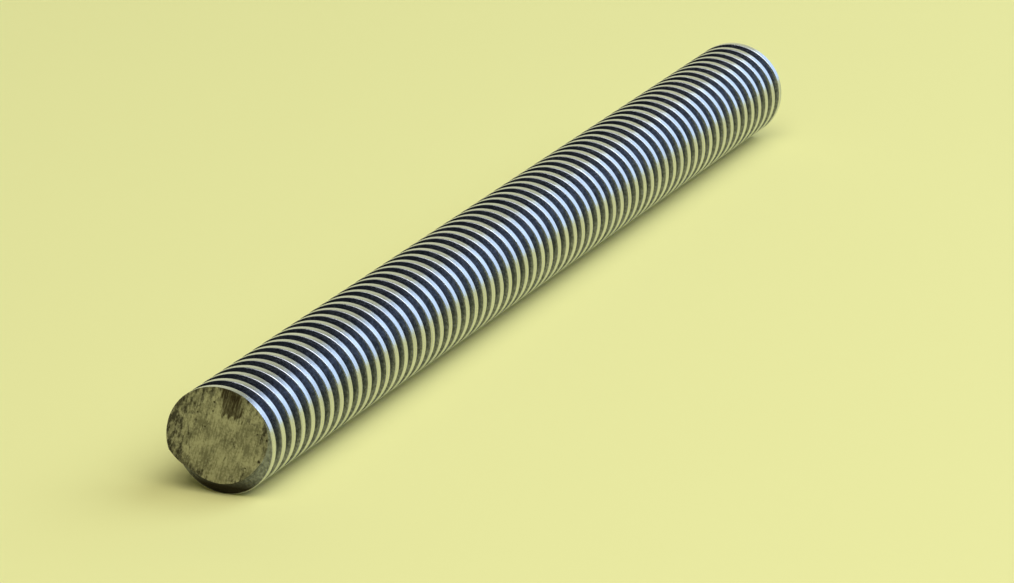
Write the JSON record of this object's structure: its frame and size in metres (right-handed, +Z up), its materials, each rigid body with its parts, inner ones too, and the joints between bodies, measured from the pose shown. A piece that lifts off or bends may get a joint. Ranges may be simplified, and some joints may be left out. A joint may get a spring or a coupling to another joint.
{
  "type": "trapezoidal lead screw",
  "caption": "Length of steel lead screw with a right-hand trapezoidal thread along its whole length and both ends sawn square; turned, it drives a nut along its axis.",
  "frame": {"origin": "centre of the first sawn end, on the thread's axis", "axes": "+X along the axis towards the second sawn end, +Z up as the bar lies on a flat surface"},
  "size_m": [0.25, 0.02, 0.02],
  "materials": {
    "steel": "bright rolled crests, dull grey flanks, sawn ends"
  },
  "bodies": {
    "root": {"lead_screw": "steel"}
  },
  "joints": []
}
